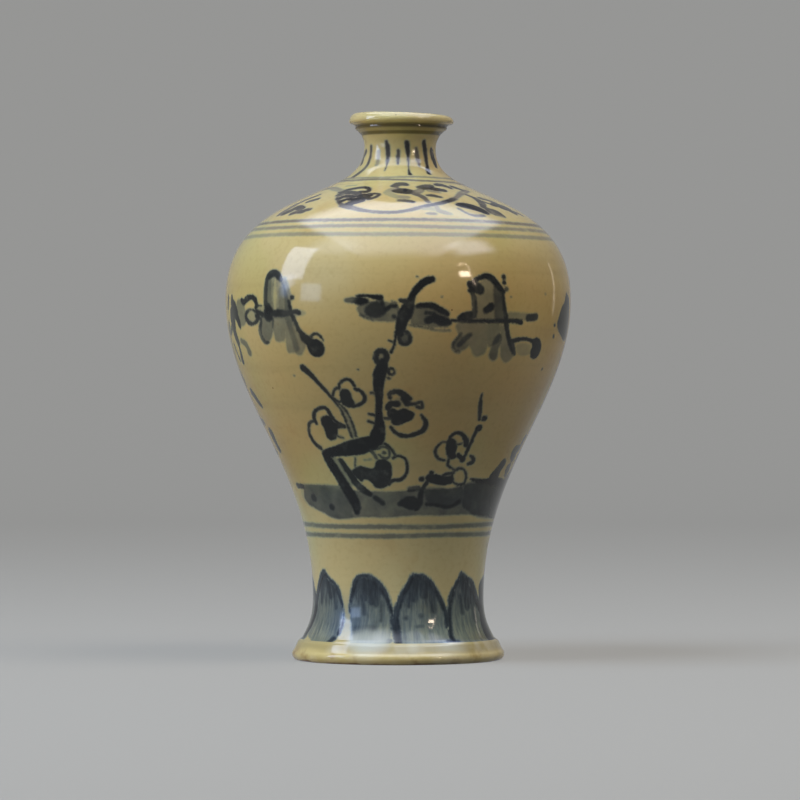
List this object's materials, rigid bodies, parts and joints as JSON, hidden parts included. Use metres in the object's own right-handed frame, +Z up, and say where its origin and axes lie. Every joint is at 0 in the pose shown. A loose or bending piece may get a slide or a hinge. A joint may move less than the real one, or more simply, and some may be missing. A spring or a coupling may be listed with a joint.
{
  "type": "meiping vase",
  "caption": "Tall ceramic vase with a small rolled mouth, broad shoulder, narrow waist and flared foot, painted in cobalt under a yellowish glaze.",
  "frame": {"origin": "centre of the foot, on the surface that the vase stands on", "axes": "+Z up along the axis of the vase; -Y is the side with the main painted scene"},
  "size_m": [0.165, 0.165, 0.26],
  "materials": {
    "glazed_body": "glossy yellowish transparent glaze over cobalt brush painting",
    "glazed_foot": "glossy yellowish glaze thinning to burnt orange at the foot rim",
    "joining_slip": "matt fired slip",
    "bare_clay": "matt unglazed fired clay"
  },
  "bodies": {
    "root": {"mouth_and_neck": "glazed_body", "luting_slip_neck": "joining_slip", "shoulder_section": "glazed_body", "luting_slip_belly": "joining_slip", "belly_section": "glazed_body", "luting_slip_waist": "joining_slip", "foot_section": "glazed_foot", "luting_slip_base": "joining_slip", "base_disc": "bare_clay"}
  },
  "joints": []
}
